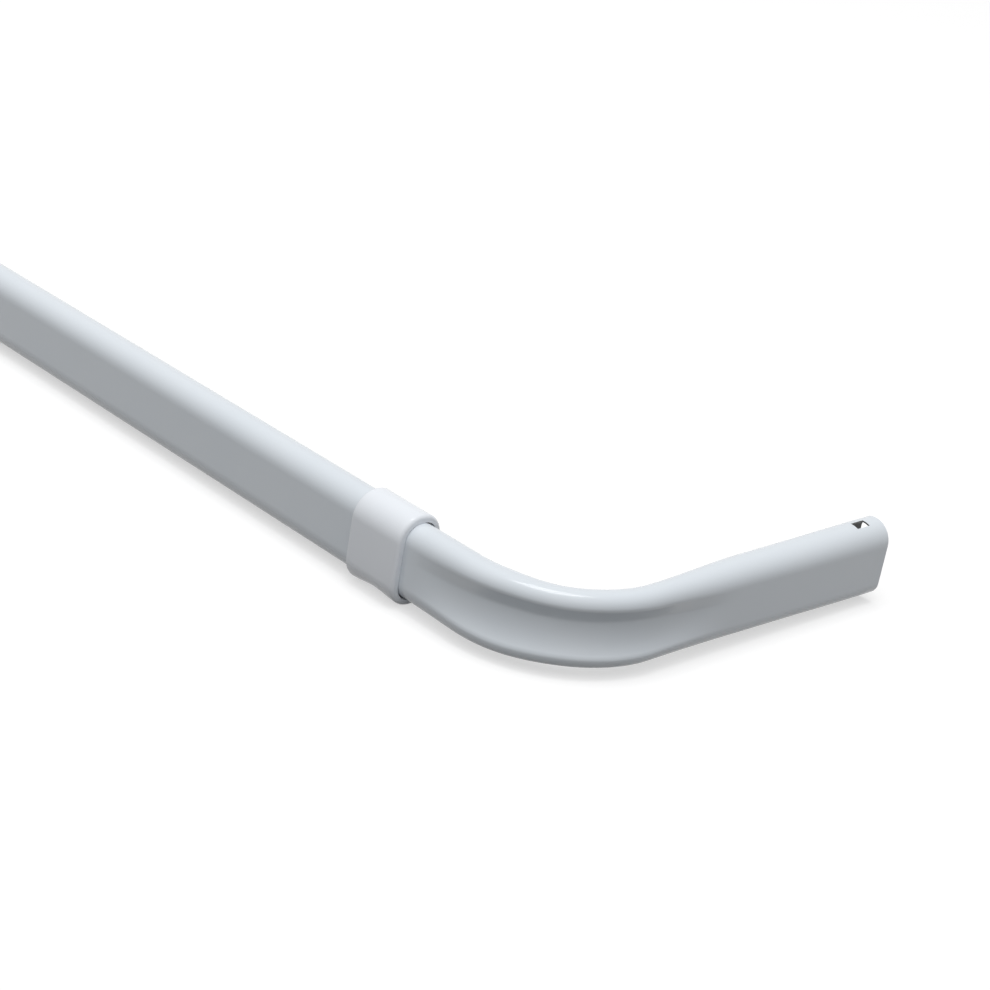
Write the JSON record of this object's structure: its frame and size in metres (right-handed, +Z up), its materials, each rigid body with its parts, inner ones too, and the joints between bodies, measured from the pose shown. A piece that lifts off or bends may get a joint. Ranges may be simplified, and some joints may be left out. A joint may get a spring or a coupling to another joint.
{
  "type": "curtain rod",
  "caption": "Telescoping flat-oval steel curtain rod with bent wall returns, slotted open ends for brackets, a folded seam along the back and a moulded collar where the inner rod slides out.",
  "frame": {"origin": "middle of the footprint, on the surface that the rod lies on, with the rod pushed in", "axes": "+X along the rod to the inner rod's return, +Y to the wall, +Z up"},
  "size_m": [0.7112, 0.1494, 0.0288],
  "materials": {
    "enamel": "white gloss enamel on folded steel strip",
    "collar_plastic": "white moulded plastic, satin"
  },
  "bodies": {
    "outer_half": {"outer_rod": "enamel", "collar": "collar_plastic"},
    "inner_half": {"inner_rod": "enamel"}
  },
  "joints": [
    {"name": "telescope", "type": "slide", "parent": "outer_half", "child": "inner_half", "axis": [1, 0, 0], "range_m": [0, 0.508]}
  ]
}
